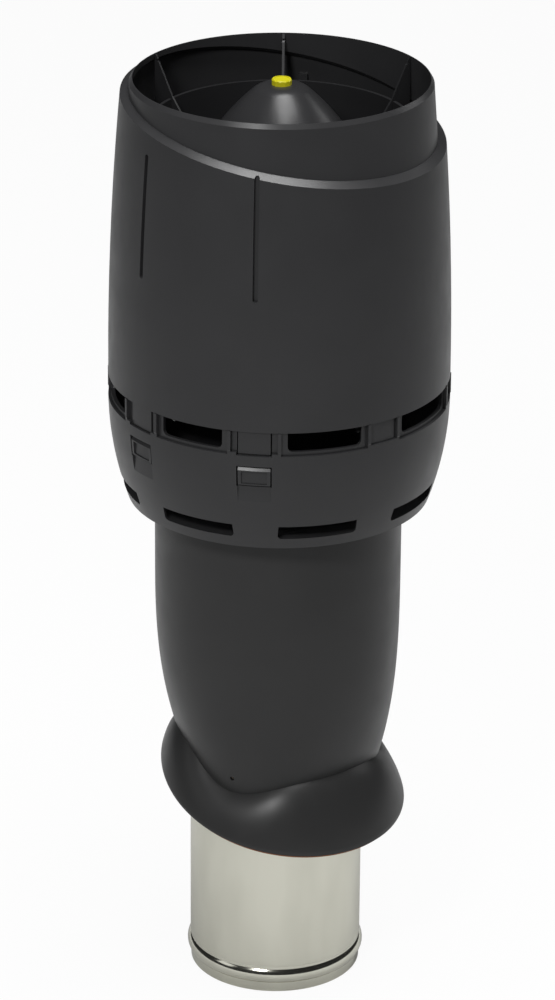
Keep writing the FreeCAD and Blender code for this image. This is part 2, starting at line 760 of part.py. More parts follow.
def build_bowl():
    """The bowl with its windows, ribs, latch windows, lower slots, floor and the ring round the sleeve."""
    body = new_body("hood_bowl")
    wall = size("bowl_wall")
    height = shoulder - bowl_foot
    foot_radius = bowl_radius_at(height)
    rim = jacket_foot + size("bowl_rim_height")
    rib_radius = bowl_radius + size("rib_proud")
    band_bore = band_radius - wall
    inner_arc = size("bowl_arc_radius") - wall
    shell = [
        (foot_radius, bowl_foot, size("bowl_arc_radius")),
        (bowl_radius, shoulder),
        (rib_radius, shoulder + edge_break),
        (rib_radius, jacket_foot - clearance),
        (band_radius, jacket_foot - clearance),
        (band_radius, rim),
        (band_bore, rim),
        (band_bore, shoulder),
        (bowl_radius - wall, shoulder - wall),
        (bowl_radius - wall, shoulder - wall - edge_break / 2, inner_arc * -1),
        (bowl_radius_at(shoulder - floor_top) - wall, floor_top),
        (sleeve_bore, floor_top),
        (sleeve_bore, floor_top - wall),
        (bowl_radius_at(shoulder - floor_top + wall) - wall, floor_top - wall),
        (foot_radius - wall, bowl_foot),
    ]
    turned(body, "BowlShell", shell)
    frame_floor = bowl_radius - size("window_frame_depth")
    frame_low = shoulder - size("window_frame_drop")
    top = jacket_foot - clearance
    hood_turn = size("hood_turn")
    windows = size("window_count")
    frame = box_corners(frame_floor, outside, frame_low, top)
    recess = box_corners(band_radius, outside, shoulder - edge_break, top)
    sill = shoulder + size("window_sill")
    for after in range(4):
        middle, half = window_span(after, "frame_side")
        cut = turned(body, f"WindowFrame{after}", frame, True, middle, half)
        repeated(body, cut, 2)
        middle, half = window_span(after, "window_side")
        window = rounded_slot(band_bore * sine(half), sill, sill + size("window_height"), size("window_corner"))
        cut = pressed(body, f"Window{after}", window, outside, True, turn=middle)
        repeated(body, cut, 2)
    drain_width = bowl_radius_at(shoulder - drain_top) * sine(size("drain_half"))
    drain = rounded_slot(drain_width, drain_low, drain_top, size("drain_corner"))
    cut = pressed(body, "DrainSlot", drain, outside, True, turn=size("hood_turn"))
    repeated(body, cut, size("window_count"))
    panel = box_corners(band_bore + edge_break, arm_face, shoulder - edge_break * 1.5, top)
    slot_low = shoulder - wall - edge_break / 2
    slot = box_corners(band_bore - overreach, outside, slot_low, rim + overreach)
    pocket_floor = bowl_radius - size("latch_pocket_setback")
    pocket_low = pipe_top - size("latch_pocket_drop")
    pocket = box_corners(pocket_floor, outside, pocket_low, latch_top + size("latch_gap"))
    gap = size("latch_gap")
    head_half = bowl_radius * sine(size("arm_half")) + gap
    latch = box_corners(head_half * -1, head_half, latch_low - gap, latch_top + gap)
    for number, azimuth in enumerate(plain_azimuths):
        cut = turned(body, f"PlainRecess{number}", recess, True, azimuth, size("plain_recess_half"))
        repeated(body, cut, 2)
        add = turned(body, f"Panel{number}", panel, False, azimuth, size("plain_half"))
        repeated(body, add, 2)
    for number, azimuth in enumerate(arm_azimuths):
        cut = turned(body, f"ArmRecess{number}", recess, True, azimuth, size("arm_recess_half"))
        repeated(body, cut, 2)
        half = size("arm_half") + size("arm_slot_gap")
        cut = turned(body, f"ArmSlot{number}", slot, True, azimuth, half)
        repeated(body, cut, 2)
        cut = turned(body, f"LatchPocket{number}", pocket, True, azimuth, size("arm_half"))
        repeated(body, cut, 2)
        cut = pressed(body, f"LatchWindow{number}", latch, outside, True, turn=azimuth)
        repeated(body, cut, 2)
    ring_bore = sleeve_radius + clearance
    ring_radius = ring_bore + size("bowl_ring_wall")
    ring_top = floor_top + size("bowl_ring_height")
    rib_low = floor_top - edge_break
    rib_high = ring_top + size("bowl_rib_rise")
    shell_low = bowl_radius_at(shoulder - rib_low) - wall / 2
    shell_high = bowl_radius_at(shoulder - rib_high) - wall / 2
    rib = [
        (ring_bore + edge_break, rib_low),
        (shell_low, rib_low, size("bowl_arc_radius") - wall / 2),
        (shell_high, rib_high),
        (ring_bore + edge_break, ring_top - edge_break * 2),
    ]
    add = pressed(body, "BowlRib", rib, size("bowl_rib_thickness"), turn=-90.0)
    repeated(body, add, windows)
    grip = box_corners(ring_bore, ring_radius, rib_low, ring_top)
    turned(body, "GripRing", grip)
    return body


rim_level = pipe_top + size("hood_rise")
ledge_level = rim_level - size("ledge_drop")
ledge_rise = tangent(size("ledge_slope"))
jacket_seam = size("hood_turn") + 180
groove_low = pipe_top + size("groove_rise")
groove_top = groove_low + size("groove_length")


def jacket_radius_at(level):
    """Outside of the jacket at a height."""
    return jacket_foot_radius - arc_drop(size("jacket_arc_radius"), level - jacket_foot)


def jacket_layer(low, high, depth):
    """Outline of everything outside a given depth below the jacket's surface, between two heights."""
    return [
        (jacket_radius_at(low) - depth, low),
        (outside, low),
        (outside, high),
        (jacket_radius_at(high) - depth, high, (size("jacket_arc_radius") - depth) * -1),
    ]


def slanted_block(body, name, level):
    """Cut everything above the ledge's slanted plane."""
    reach = jacket_foot_radius + overreach
    far = rim_level + reach
    corners = [
        (reach * -1, level + reach * ledge_rise),
        (reach, level - reach * ledge_rise),
        (reach, far),
        (reach * -1, far),
    ]
    sketch = new_sketch(body, name + "Outline", turn=size("hood_turn") - 90)
    outline(sketch, corners)
    cut = body.newObject("PartDesign::Pocket", name)
    cut.Profile = sketch
    cut.SideType = "Symmetric"
    cut.setExpression("Length", (reach * 2).text)
    doc.recompute()
    return cut


def edge_near(shape, point, reach=0.6):
    """The name of the edge that passes through a point."""
    vertex = Part.Vertex(point)
    names = []
    for index, edge in enumerate(shape.Edges, start=1):
        distance = edge.distToShape(vertex)[0]
        if distance < reach:
            names.append((distance, f"Edge{index}"))
    return min(names)[1]


def on_low_side(radius, level):
    """A point on the hood's low side."""
    return direction(size("hood_turn").number) * radius + FreeCAD.Vector(0, 0, level)


def edge_chamfer(body, name, point):
    """A chamfer on the edge that passes through a point."""
    doc.recompute()
    base = body.Tip
    edge = edge_near(base.Shape, point)
    feature = body.newObject("PartDesign::Chamfer", name)
    feature.Base = (base, [edge])
    return feature


def ledge_crest(level, radius_at):
    """Radius and height where the slanted plane meets a turned surface on the low side."""
    radius = radius_at(as_length(level)).number
    for _ in range(20):
        height = level - radius * ledge_rise.number
        radius = radius_at(as_length(height)).number
    return radius, level - radius * ledge_rise.number


def build_jacket():
    """The jacket with its slanted ledge, collar, grooves and snap arms, one moulding."""
    arc = size("jacket_arc_radius")
    wall = size("jacket_wall")
    far = rim_level + overreach
    outer_body = new_body("jacket_outside")
    block = [
        (0.0, jacket_foot),
        (jacket_foot_radius, jacket_foot, arc),
        (jacket_radius_at(far), far),
        (0.0, far),
    ]
    turned(outer_body, "JacketBlock", block, azimuth=jacket_seam)
    slanted_block(outer_body, "LedgePlane", ledge_level)
    radius, height = ledge_crest(ledge_level.number, jacket_radius_at)
    edge = edge_chamfer(outer_body, "LedgeChamfer", on_low_side(radius, height))
    edge.ChamferType = "Two distances"
    edge.setExpression("Size", size("ledge_chamfer_width").text)
    edge.setExpression("Size2", size("ledge_chamfer_height").text)
    draft = tangent(size("collar_draft"))
    shoulder_level = rim_level - size("rim_chamfer_height")
    collar_top = size("collar_diameter") / 2
    collar_low = groove_low
    collar = [
        (0.0, collar_low),
        (collar_top + (shoulder_level - collar_low) * draft, collar_low),
        (collar_top, shoulder_level),
        (collar_top - size("rim_chamfer_width"), rim_level),
        (0.0, rim_level),
    ]
    turned(outer_body, "Collar", collar, azimuth=jacket_seam)

    inner_body = new_body("jacket_inside")
    below = jacket_foot - overreach
    inner_far = far + overreach
    cavity = [
        (0.0, below),
        (jacket_bore, below),
        (jacket_bore, jacket_foot, arc - wall),
        (jacket_radius_at(inner_far) - wall, inner_far),
        (0.0, inner_far),
    ]
    turned(inner_body, "JacketCavity", cavity, azimuth=jacket_seam)
    slanted_block(inner_body, "LedgeUnderside", ledge_level - wall)
    bore_top = collar_top - wall
    bore = [
        (0.0, collar_low),
        (bore_top + (shoulder_level - collar_low) * draft, collar_low),
        (bore_top, shoulder_level),
        (bore_top - (inner_far - shoulder_level) * draft, inner_far),
        (0.0, inner_far),
    ]
    turned(inner_body, "CollarBore", bore, azimuth=jacket_seam)
    foot = bore_top.number
    for _ in range(20):
        level = (ledge_level - wall).number - foot * ledge_rise.number
        foot = bore_top.number + (shoulder_level.number - level) * draft.number
    edge = edge_chamfer(inner_body, "CollarFootChamfer", on_low_side(foot, level))
    edge.setExpression("Size", size("ledge_inner_chamfer").text)
    backing = size("groove_backing")
    backed = jacket_layer(groove_low - backing, groove_top + backing, size("groove_depth") + backing)
    half = (size("groove_width") / 2 + backing) / jacket_foot_radius * (180 / math.pi)
    for number, azimuth in enumerate(arm_azimuths):
        cut = turned(inner_body, f"GrooveBacking{number}", backed, True, azimuth, half)
        repeated(inner_body, cut, 2)
    shell = doc.addObject("Part::Cut", "jacket_shell")
    shell.Base = outer_body
    shell.Tool = inner_body

    layer = new_body("groove_layer")
    turned(layer, "GrooveDepth", jacket_layer(groove_low, groove_top, size("groove_depth")), azimuth=jacket_seam)
    slots = new_body("groove_slots")
    slots.AllowCompound = True
    half = size("groove_width") / 2
    slot = [
        (half * -1, groove_low + half, half),
        (0.0, groove_low, half),
        (half, groove_low + half),
        (half, groove_top - half, half),
        (0.0, groove_top, half),
        (half * -1, groove_top - half),
    ]
    for azimuth in arm_azimuths:
        pressed(slots, "GrooveSlot", slot, outside * 2, turn=azimuth)
    cutter = doc.addObject("Part::Common", "jacket_grooves")
    cutter.Base = layer
    cutter.Tool = slots
    grooved = doc.addObject("Part::Cut", "jacket_grooved")
    grooved.Base = shell
    grooved.Tool = cutter
    moulding = doc.addObject("Part::Fuse", "hood_jacket")
    moulding.Base = grooved
    moulding.Tool = build_arms()
    return moulding


def build_arms():
    """The snap arms: root in the jacket, blade, and head with its dimple."""
    body = new_body("snap_arms")
    body.AllowCompound = True
    root_top = jacket_foot + size("arm_root")
    inner = arm_face - size("arm_thickness")
    blade = inner + size("arm_thin")
    below_band = shoulder - size("bowl_wall")
    gap = size("latch_gap")
    head_top = bowl_radius - size("arm_head_setback")
    head_low = head_top - size("arm_head_lean")
    profile = [
        (inner, root_top),
        (inner, latch_low + gap),
        (head_low, latch_low + gap),
        (head_top, latch_top - gap - size("arm_head_chamfer")),
        (blade + gap, latch_top - gap),
        (blade, latch_top - gap),
        (blade, below_band),
        (arm_face, below_band + arm_face - blade),
        (arm_face, jacket_foot + gap),
        (jacket_bore + size("jacket_wall") / 2, jacket_foot + gap),
        (jacket_bore + size("jacket_wall") / 2, root_top),
    ]
    margin = size("latch_dimple_margin")
    half_arm = size("arm_half") - gap / bowl_radius * (90 / math.pi)
    half_dimple = half_arm - margin / bowl_radius * (180 / math.pi)
    floor = head_low - size("latch_dimple_depth")
    dimple_low = latch_low + size("latch_dimple_foot")
    dimple = box_corners(floor, outside, dimple_low, latch_top - size("latch_dimple_drop"))
    for number, azimuth in enumerate(arm_azimuths):
        add = turned(body, f"Arm{number}", profile, False, azimuth, half_arm)
        repeated(body, add, 2)
        cut = turned(body, f"Dimple{number}", dimple, True, azimuth, half_dimple)
        repeated(body, cut, 2)
    return body


def build_sleeve():
    """The guide sleeve with its webs, hub, drain slots and screw holes, one moulding."""
    body = new_body("inner_sleeve")
    seal_low = pipe_top - size("hood_seal_drop")
    seal_high = seal_low + size("hood_seal_height")
    seal_wall = sleeve_bore + size("hood_seal_depth")
    tube = [
        (sleeve_bore, sleeve_foot),
        (sleeve_radius, sleeve_foot),
        (sleeve_radius, sleeve_top),
        (sleeve_bore, sleeve_top),
        (sleeve_bore, seal_high),
        (seal_wall, seal_high),
        (seal_wall, seal_low),
        (sleeve_bore, seal_low),
    ]
    turned(body, "SleeveTube", tube)
    hub_radius = size("hub_diameter") / 2
    hub_top = pipe_top + size("cone_rise") - size("cone_wall")
    hub_low = hub_top - size("hub_length")
    cone_edge = pipe_top + size("cone_rise") - size("cone_height")
    collar_bore = size("collar_diameter") / 2 - size("jacket_wall")
    web_reach = collar_bore - size("slip_clearance")
    middle = (sleeve_bore + sleeve_radius) / 2
    in_hub = hub_radius - edge_break * 2
    fin_low = sleeve_top - size("web_fin_drop")
    web = [
        (in_hub, hub_low),
        (middle, sleeve_top - size("web_foot_drop")),
        (middle, fin_low),
        (web_reach, fin_low + size("web_fin_rise")),
        (web_reach, rim_level - size("web_tip_drop")),
        (web_reach - size("web_tip_width"), rim_level - size("web_tip_drop")),
        (web_reach - size("web_notch_depth"), rim_level - size("web_notch_drop")),
        (web_reach - size("web_nose_depth"), rim_level - size("web_nose_drop")),
        (web_reach - size("web_brow_depth"), rim_level - size("web_brow_drop")),
        (size("web_elbow_radius"), sleeve_top + size("web_elbow_rise")),
        (size("web_knee_radius"), sleeve_top - size("web_knee_drop")),
        (size("cone_radius") + size("web_cone_gap"), cone_edge - size("web_cone_drop")),
        (size("cone_radius") + size("web_seat_gap"), cone_edge - size("web_seat_drop")),
        (in_hub, hub_top - size("web_hub_drop")),
    ]
    add = pressed(body, "Web", web, size("web_thickness"), turn=size("hood_turn") - 90)
    repeated(body, add, size("web_count"))
    turned(body, "Hub", box_corners(0.0, hub_radius, hub_low, hub_top))
    bore = size("bolt_diameter") / 2 + clearance
    turned(body, "HubBore", box_corners(0.0, bore, hub_low - overreach, hub_top + overreach), True)
    slot_low = pipe_top + size("head_ring_thickness") + edge_break
    slot_top = slot_low + size("sleeve_drain_height")
    drain = box_corners(sleeve_bore - overreach, sleeve_radius + overreach, slot_low, slot_top)
    between = size("hood_turn") + as_length(180) / size("web_count")
    cut = turned(body, "SleeveDrain", drain, True, between, size("sleeve_drain_half"))
    repeated(body, cut, size("web_count"))
    screw_holes(body, size("hood_screw_turn"), hood_screw_level)
    return body


def build_cone():
    """The bell that throws the rain outwards."""
    body = new_body("rain_cone")
    top = pipe_top + size("cone_rise")
    wall = size("cone_wall")
    bore = size("bolt_diameter") / 2 + clearance
    edge = top - size("cone_height")
    crown = size("cone_crown_radius")
    side = size("cone_shoulder_radius")
    side_top = top - size("cone_shoulder_drop")
    arc = size("cone_arc_radius")
    lean = sine(size("cone_shoulder_slope"))
    upright = root(1 - lean * lean)
    corners = [
        (bore, top),
        (bore, top - wall),
        (crown, top - wall, (size("cone_crown_round") - wall) * -1),
        (side - wall * lean, side_top - wall * upright, (arc - wall) * -1),
        (size("cone_radius") - wall, edge),
        (size("cone_radius"), edge, arc),
        (side, side_top, size("cone_crown_round")),
        (crown, top),
    ]
    turned(body, "BellShell", corners)
    return body


def polygon(corner_radius, sides, turn=0.0):
    """Corners of a regular outline."""
    corners = []
    for index in range(sides):
        angle = math.radians(turn + 360 * index / sides)
        corners.append((corner_radius * math.cos(angle), corner_radius * math.sin(angle)))
    return corners


def build_cap():
    """The yellow cap over the bolt's head."""
    body = new_body("cone_cap")
    low = pipe_top + size("cone_rise")
    high = low + size("cap_height")
    radius = size("cap_diameter") / 2
    sketch = new_sketch(body, "CapOutline", role="XY_Plane", lift=low)
    outline(sketch, polygon(radius, 12, 15.0))
    pad = body.newObject("PartDesign::Pad", "CapBlock")
    pad.Profile = sketch
    pad.setExpression("Length", size("cap_height").text)
    inner = radius - size("cap_wall")
    hollow = box_corners(0.0, inner, low - overreach, high - size("cap_roof"))
    turned(body, "CapHollow", hollow, True)
    floor = high - size("cap_dish_depth")
    dish = box_corners(0.0, size("cap_dish_radius"), floor, high + overreach)
    turned(body, "CapDish", dish, True)
    bevel = [
        (radius - size("cap_bevel"), high),
        (radius, high - size("cap_bevel_height")),
        (radius + overreach, high - size("cap_bevel_height")),
        (radius + overreach, high + overreach),
        (radius - size("cap_bevel"), high + overreach),
    ]
    turned(body, "CapBevel", bevel, True)
    return body


def build_bolt():
    """The bolt through bell and hub."""
    body = new_body("cone_bolt")
    radius = size("bolt_diameter") / 2
    seat = pipe_top + size("cone_rise") + size("washer_thickness")
    hub_low = pipe_top + size("cone_rise") - size("cone_wall") - size("hub_length")
    end = hub_low - size("washer_thickness") - size("nut_height") - size("bolt_end")
    head = size("bolt_head_diameter") / 2
    head_top = seat + size("bolt_head_height")
    corners = [
        (0.0, end),
        (radius - edge_break, end),
        (radius, end + edge_break),
        (radius, seat),
        (head, seat),
        (head, head_top - size("bolt_head_round")),
        (head - size("bolt_head_round"), head_top),
        (0.0, head_top),
    ]
    turned(body, "BoltBlank", corners)
    sketch = new_sketch(body, "SocketOutline", role="XY_Plane", lift=head_top)
    outline(sketch, polygon(size("socket_radius"), 6))
    socket = body.newObject("PartDesign::Pocket", "Socket")
    socket.Profile = sketch
    socket.setExpression("Length", size("socket_depth").text)
    return body


def build_nut():
    """The nut under the hub."""
    body = new_body("cone_nut")
    hub_low = pipe_top + size("cone_rise") - size("cone_wall") - size("hub_length")
    top = hub_low - size("washer_thickness")
    low = top - size("nut_height")
    sketch = new_sketch(body, "NutOutline", role="XY_Plane", lift=low)
    outline(sketch, polygon(size("nut_width") / math.sqrt(3), 6))
    pad = body.newObject("PartDesign::Pad", "NutBlock")
    pad.Profile = sketch
    pad.setExpression("Length", size("nut_height").text)
    bore = size("bolt_diameter") / 2 + size("touch_gap")
    turned(body, "NutBore", box_corners(0.0, bore, low - overreach, top + overreach), True)
    return body


def build_washers():
    """The two washers of the bolt."""
    crown = pipe_top.number + size("cone_rise").number
    hub_low = crown - size("cone_wall").number - size("hub_length").number
    thick = size("washer_thickness").number
    washers = []
    for low in (crown, hub_low - thick):
        disc = Part.makeCylinder(size("washer_diameter").number / 2, thick, FreeCAD.Vector(0, 0, low))
        bore = size("bolt_diameter").number / 2 + clearance.number
        foot = FreeCAD.Vector(0, 0, low - thick)
        hole = Part.makeCylinder(bore, thick * 3, foot)
        washers.append(disc.cut(hole))
    return piece("cone_washers", Part.makeCompound(washers))


def sheet_screw(azimuth, level, seat, tip):
    """A sheet screw that points at the axis: domed head outside seat, shank in to tip."""
    head = size("screw_head_diameter").number / 2
    height = size("screw_head_height").number
    shank = size("screw_shank_diameter").number / 2 - size("touch_gap").number
    points = [
        (0, seat + height),
        (head / 2, seat + height),
        (head, seat + height / 3),
        (head, seat),
        (shank, seat),
        (shank, tip + size("screw_point").number),
        (0, tip),
    ]
    out = direction(azimuth)
    side = FreeCAD.Vector(-out.y, out.x, 0)
    path = [out * along + side * away + FreeCAD.Vector(0, 0, level) for away, along in points]
    face = Part.Face(Part.makePolygon(path + path[:1]))
    return face.revolve(FreeCAD.Vector(0, 0, level), out, 360)


def build_screws():
    """The screws of the duct and of the hood."""
    seat = sleeve_radius.number
    neck = duct_outer.number + size("head_ring_thickness").number
    hood_tip = pipe_bore.number + size("touch_gap").number
    duct_tip = duct_bore.number - size("screw_reach").number
    hood = []
    for azimuth in screw_azimuths("hood_screw_turn"):
        hood.append(sheet_screw(azimuth, hood_screw_level.number, seat, hood_tip))
    duct = []
    for azimuth in screw_azimuths("duct_screw_turn"):
        duct.append(sheet_screw(azimuth, duct_screw_level.number, neck, duct_tip))
    return [
        piece("hood_screws", Part.makeCompound(hood)),
        piece("duct_screws", Part.makeCompound(duct)),
    ]


def check_document():
    """Stop if anything in the document failed."""
    for item in doc.Objects:
        if "Invalid" in item.State or "Error" in item.State:
            raise RuntimeError(f"{item.Label} failed: {item.State}")


def save(item):
    """Write one piece to its own file."""
    shape = item.Shape
    if shape.isNull() or not shape.isValid() or not shape.Solids:
        raise RuntimeError(f"{item.Label} has no valid solid")
    shape.exportStep(f"parts/{item.Label}.step")
    print(f"{item.Label}: {len(shape.Solids)} solids, {shape.Volume / 1000:.1f} cm3")


pieces = [
    build_duct(),
    build_pipe(),
    build_skirt_seal(),
    build_neck_ring(),
    build_insulation(),
    build_head_ring(),
    build_seal(),
    build_bowl(),
    build_jacket(),
    build_sleeve(),
    build_cone(),
    build_cap(),
    build_bolt(),
    build_nut(),
    build_washers(),
]
pieces += build_screws()
doc.recompute()
check_document()
os.makedirs("parts", exist_ok=True)
for item in pieces:
    save(item)
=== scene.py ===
"""Looks of a roof ventilation pipe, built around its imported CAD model.

The frame is the part's own: metres, +Z up, origin at the centre of the steel duct's lower end,
and the roof falling away towards -Y. Azimuths are counted from -Y towards +X, in degrees.
"""

from __future__ import annotations

import json
import logging
import math
from collections.abc import Callable
from dataclasses import dataclass, field
from enum import Enum
from typing import Any

import bmesh
import bpy
from mathutils import Matrix, Vector

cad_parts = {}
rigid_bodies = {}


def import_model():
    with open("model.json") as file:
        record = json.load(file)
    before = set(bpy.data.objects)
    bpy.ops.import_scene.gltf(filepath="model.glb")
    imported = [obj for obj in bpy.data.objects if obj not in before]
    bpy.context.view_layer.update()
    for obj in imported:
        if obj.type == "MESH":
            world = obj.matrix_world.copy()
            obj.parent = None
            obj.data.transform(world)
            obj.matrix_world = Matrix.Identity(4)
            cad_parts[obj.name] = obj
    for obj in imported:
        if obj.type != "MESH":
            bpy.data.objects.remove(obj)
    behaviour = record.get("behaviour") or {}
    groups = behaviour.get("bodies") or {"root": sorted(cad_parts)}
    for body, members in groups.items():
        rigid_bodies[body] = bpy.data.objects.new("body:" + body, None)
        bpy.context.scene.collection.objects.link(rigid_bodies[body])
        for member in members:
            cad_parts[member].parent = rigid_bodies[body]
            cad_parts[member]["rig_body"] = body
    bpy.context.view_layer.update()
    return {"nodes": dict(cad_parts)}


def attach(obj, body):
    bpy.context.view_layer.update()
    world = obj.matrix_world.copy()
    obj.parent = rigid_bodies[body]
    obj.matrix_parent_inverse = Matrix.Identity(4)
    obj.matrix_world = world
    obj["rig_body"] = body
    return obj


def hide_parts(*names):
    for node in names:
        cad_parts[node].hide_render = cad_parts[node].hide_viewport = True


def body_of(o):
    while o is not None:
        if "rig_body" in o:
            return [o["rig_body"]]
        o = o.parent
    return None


log = logging.getLogger("roof_ventilation_pipe")

MILLIMETRE = 0.001
WHITE = (1.0, 1.0, 1.0, 1.0)
EVEN = (1.0, 1.0, 1.0)

# Nearly all of a mottle's values lie between these two.
MOTTLE_LOW = 0.35
MOTTLE_HIGH = 0.65


def linear(colour: str) -> tuple[float, float, float, float]:
    """An sRGB hex colour as linear red, green, blue and a full alpha.

    Args:
        colour: six hex digits after a hash.

    Returns:
        The four values that a Blender colour socket takes.
    """
    parts = [int(colour[start : start + 2], 16) / 255 for start in (1, 3, 5)]
    values = [p / 12.92 if p <= 0.04045 else ((p + 0.055) / 1.055) ** 2.4 for p in parts]
    return values[0], values[1], values[2], 1.0


def direction(azimuth: float) -> Vector:
    """The level direction of an azimuth in degrees."""
    angle = math.radians(azimuth)
    return Vector((math.sin(angle), -math.cos(angle), 0.0))


def outwards(azimuth: float, elevation: float) -> Vector:
    """The direction of an azimuth and an elevation, both in degrees."""
    lift = math.radians(elevation)
    return direction(azimuth) * math.cos(lift) + Vector((0.0, 0.0, math.sin(lift)))


def placed(name: str, data: Any) -> bpy.types.Object:
    """An object in the scene that shows a mesh, a lamp or a camera.

    Args:
        name: the object's name.
        data: what it shows.

    Returns:
        The object, at the frame's origin.
    """
    item = bpy.data.objects.new(name, data)
    bpy.context.scene.collection.objects.link(item)
    return item


class Tree:
    """The node tree of a material or a world, with one way to add a node."""

    def __init__(self, owner: bpy.types.Material | bpy.types.World) -> None:
        """Empty the tree of a material or a world."""
        self.owner = owner
        owner.use_nodes = True
        self.nodes = owner.node_tree.nodes
        self.links = owner.node_tree.links
        self.nodes.clear()

    def add(
        self, kind: str, settings: dict[str, Any] | None = None, **inputs: Any
    ) -> bpy.types.Node:
        """Add a node, set what it is told and link what it is given.

        Args:
            kind: Blender's name for the node.
            settings: properties of the node itself.
            **inputs: values or output sockets for its inputs, with _ for a space in their names
                and a number after input for one that is found by its place.

        Returns:
            The new node.
        """
        node = self.nodes.new(kind)
        for name, value in (settings or {}).items():
            setattr(node, name, value)
        for name, value in inputs.items():
            number = name.removeprefix("input")
            key = int(number) if number.isdigit() else name.replace("_", " ")
            socket = node.inputs[key]
            if isinstance(value, bpy.types.NodeSocket):
                self.links.new(value, socket)
            else:
                socket.default_value = value
        return node

    def mottle(
        self, size_mm: float, stretch: tuple[float, float, float] = EVEN, detail: float = 2.0
    ) -> bpy.types.NodeSocket:
        """A soft mottle all over the object, whose spots have a real size.

        Args:
            size_mm: width of a spot.
            stretch: how many times closer the spots stand along each axis.
            detail: how many finer layers lie on it.

        Returns:
            A value between 0 and 1, mostly near the middle.
        """
        place = self.add("ShaderNodeTexCoord")
        scaled = self.add("ShaderNodeMapping", Vector=place.outputs["Object"], Scale=stretch)
        scale = 1 / (size_mm * MILLIMETRE)
        noise = self.add("ShaderNodeTexNoise", Vector=scaled.outputs[0], Scale=scale, Detail=detail)
        return noise.outputs[0]

    def two_tone(
        self, pattern: bpy.types.NodeSocket, first: str, second: str
    ) -> bpy.types.NodeSocket:
        """Two colours that run into each other over the middle of a mottle.

        Args:
            pattern: the mottle.
            first: the colour where it is low.
            second: the colour where it is high.

        Returns:
            The colour.
        """
        share = self.add(
            "ShaderNodeMapRange", Value=pattern, From_Min=MOTTLE_LOW, From_Max=MOTTLE_HIGH
        )
        mixed = self.add(
            "ShaderNodeMix",
            {"data_type": "RGBA"},
            input0=share.outputs[0],
            input6=linear(first),
            input7=linear(second),
        )
        return mixed.outputs[2]


@dataclass(frozen=True)
class MouldedPolypropylene:
    """Polypropylene, injection moulded in a spark-eroded tool.

    To the eye it is matt and even, without flow lines, and its fine grain spreads each highlight.
    The grain is drawn about twice as coarse as the real one, so that it shows in the render.
    """

    name: str
    colour: str
    cloud_colour: str
    roughness: float = 0.33
    grain_mm: float = 0.9
    grain_depth_mm: float = 0.05
    grain_strength: float = 0.5
    grain_detail: float = 3.0
    specular: float = 0.25
    ior: float = 1.49
    cloud_mm: float = 60.0
    sheen_mm: float = 25.0
    sheen_low: float = 0.3
    sheen_high: float = 0.7
    sheen_spread: float = 0.03

    def material(self) -> bpy.types.Material:
        """Make the material.

        Returns:
            The plastic with its grain, slow clouds of colour and uneven sheen.
        """
        tree = Tree(bpy.data.materials.new(self.name))
        rough = tree.add(
            "ShaderNodeMapRange",
            Value=tree.mottle(self.sheen_mm),
            From_Min=self.sheen_low,
            From_Max=self.sheen_high,
            To_Min=self.roughness - self.sheen_spread,
            To_Max=self.roughness + self.sheen_spread,
        )
        bump = tree.add(
            "ShaderNodeBump",
            Height=tree.mottle(self.grain_mm, detail=self.grain_detail),
            Strength=self.grain_strength,
            Distance=self.grain_depth_mm * MILLIMETRE,
        )
        shader = tree.add(
            "ShaderNodeBsdfPrincipled",
            Base_Color=tree.two_tone(tree.mottle(self.cloud_mm), self.colour, self.cloud_colour),
            Roughness=rough.outputs[0],
            Normal=bump.outputs[0],
            IOR=self.ior,
            Specular_IOR_Level=self.specular,
        )
        tree.add("ShaderNodeOutputMaterial", Surface=shader.outputs[0])
        return tree.owner


@dataclass(frozen=True)
class GalvanisedSheet:
    """Hot-dip galvanised steel sheet, rolled smooth.

    To the eye it is a satin zinc coat with faint lengthwise rolling lines and pale clouds. The
    bead is burnished by the rolls that form it, so it mirrors its surroundings.
    """

    name: str = "galvanised_steel_sheet"
    colour: str = "#D6D5C8"
    dull_colour: str = "#CECDC0"
    roughness: float = 0.34
    bead_roughness: float = 0.14
    bead_top_mm: float = 24.5
    bead_edge_mm: float = 1.0
    line_mm: float = 1.6
    line_stretch: tuple[float, float, float] = (1.0, 1.0, 0.02)
    line_depth_mm: float = 0.01
    line_strength: float = 0.25
    cloud_mm: float = 38.0
    cloud_stretch: tuple[float, float, float] = (1.0, 1.0, 0.35)

    def material(self) -> bpy.types.Material:
        """Make the material.

        Returns:
            The sheet, smoother from the bead down.
        """
        tree = Tree(bpy.data.materials.new(self.name))
        place = tree.add("ShaderNodeTexCoord").outputs["Object"]
        rough = tree.add(
            "ShaderNodeMapRange",
            Value=tree.add("ShaderNodeSeparateXYZ", Vector=place).outputs["Z"],
            From_Min=self.bead_top_mm * MILLIMETRE,
            From_Max=(self.bead_top_mm + self.bead_edge_mm) * MILLIMETRE,
            To_Min=self.bead_roughness,
            To_Max=self.roughness,
        )
        bump = tree.add(
            "ShaderNodeBump",
            Height=tree.mottle(self.line_mm, self.line_stretch),
            Strength=self.line_strength,
            Distance=self.line_depth_mm * MILLIMETRE,
        )
        clouds = tree.mottle(self.cloud_mm, self.cloud_stretch)
        shader = tree.add(
            "ShaderNodeBsdfPrincipled",
            Base_Color=tree.two_tone(clouds, self.dull_colour, self.colour),
            Roughness=rough.outputs[0],
            Metallic=1.0,
            Normal=bump.outputs[0],
        )
        tree.add("ShaderNodeOutputMaterial", Surface=shader.outputs[0])
        return tree.owner


